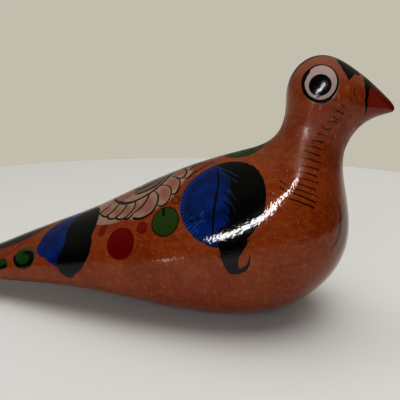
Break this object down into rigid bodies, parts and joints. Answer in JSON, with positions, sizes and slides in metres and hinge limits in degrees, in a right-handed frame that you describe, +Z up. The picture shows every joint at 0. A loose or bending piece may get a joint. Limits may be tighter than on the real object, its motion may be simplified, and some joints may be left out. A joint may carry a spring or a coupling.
{
  "type": "pottery bird figurine",
  "caption": "Burnished clay dove with a long tapering tail, painted with flowers, wings and eyes, that sits on its own flattened belly as a table ornament.",
  "frame": {"origin": "on the table under the middle of the figure's box", "axes": "+X towards the beak, +Y to the bird's left, +Z up"},
  "size_m": [0.235, 0.088, 0.1245],
  "materials": {
    "painted_clay": "burnished red-brown clay, painted by hand and varnished to a gloss"
  },
  "bodies": {
    "root": {"bird": "painted_clay"}
  },
  "joints": []
}
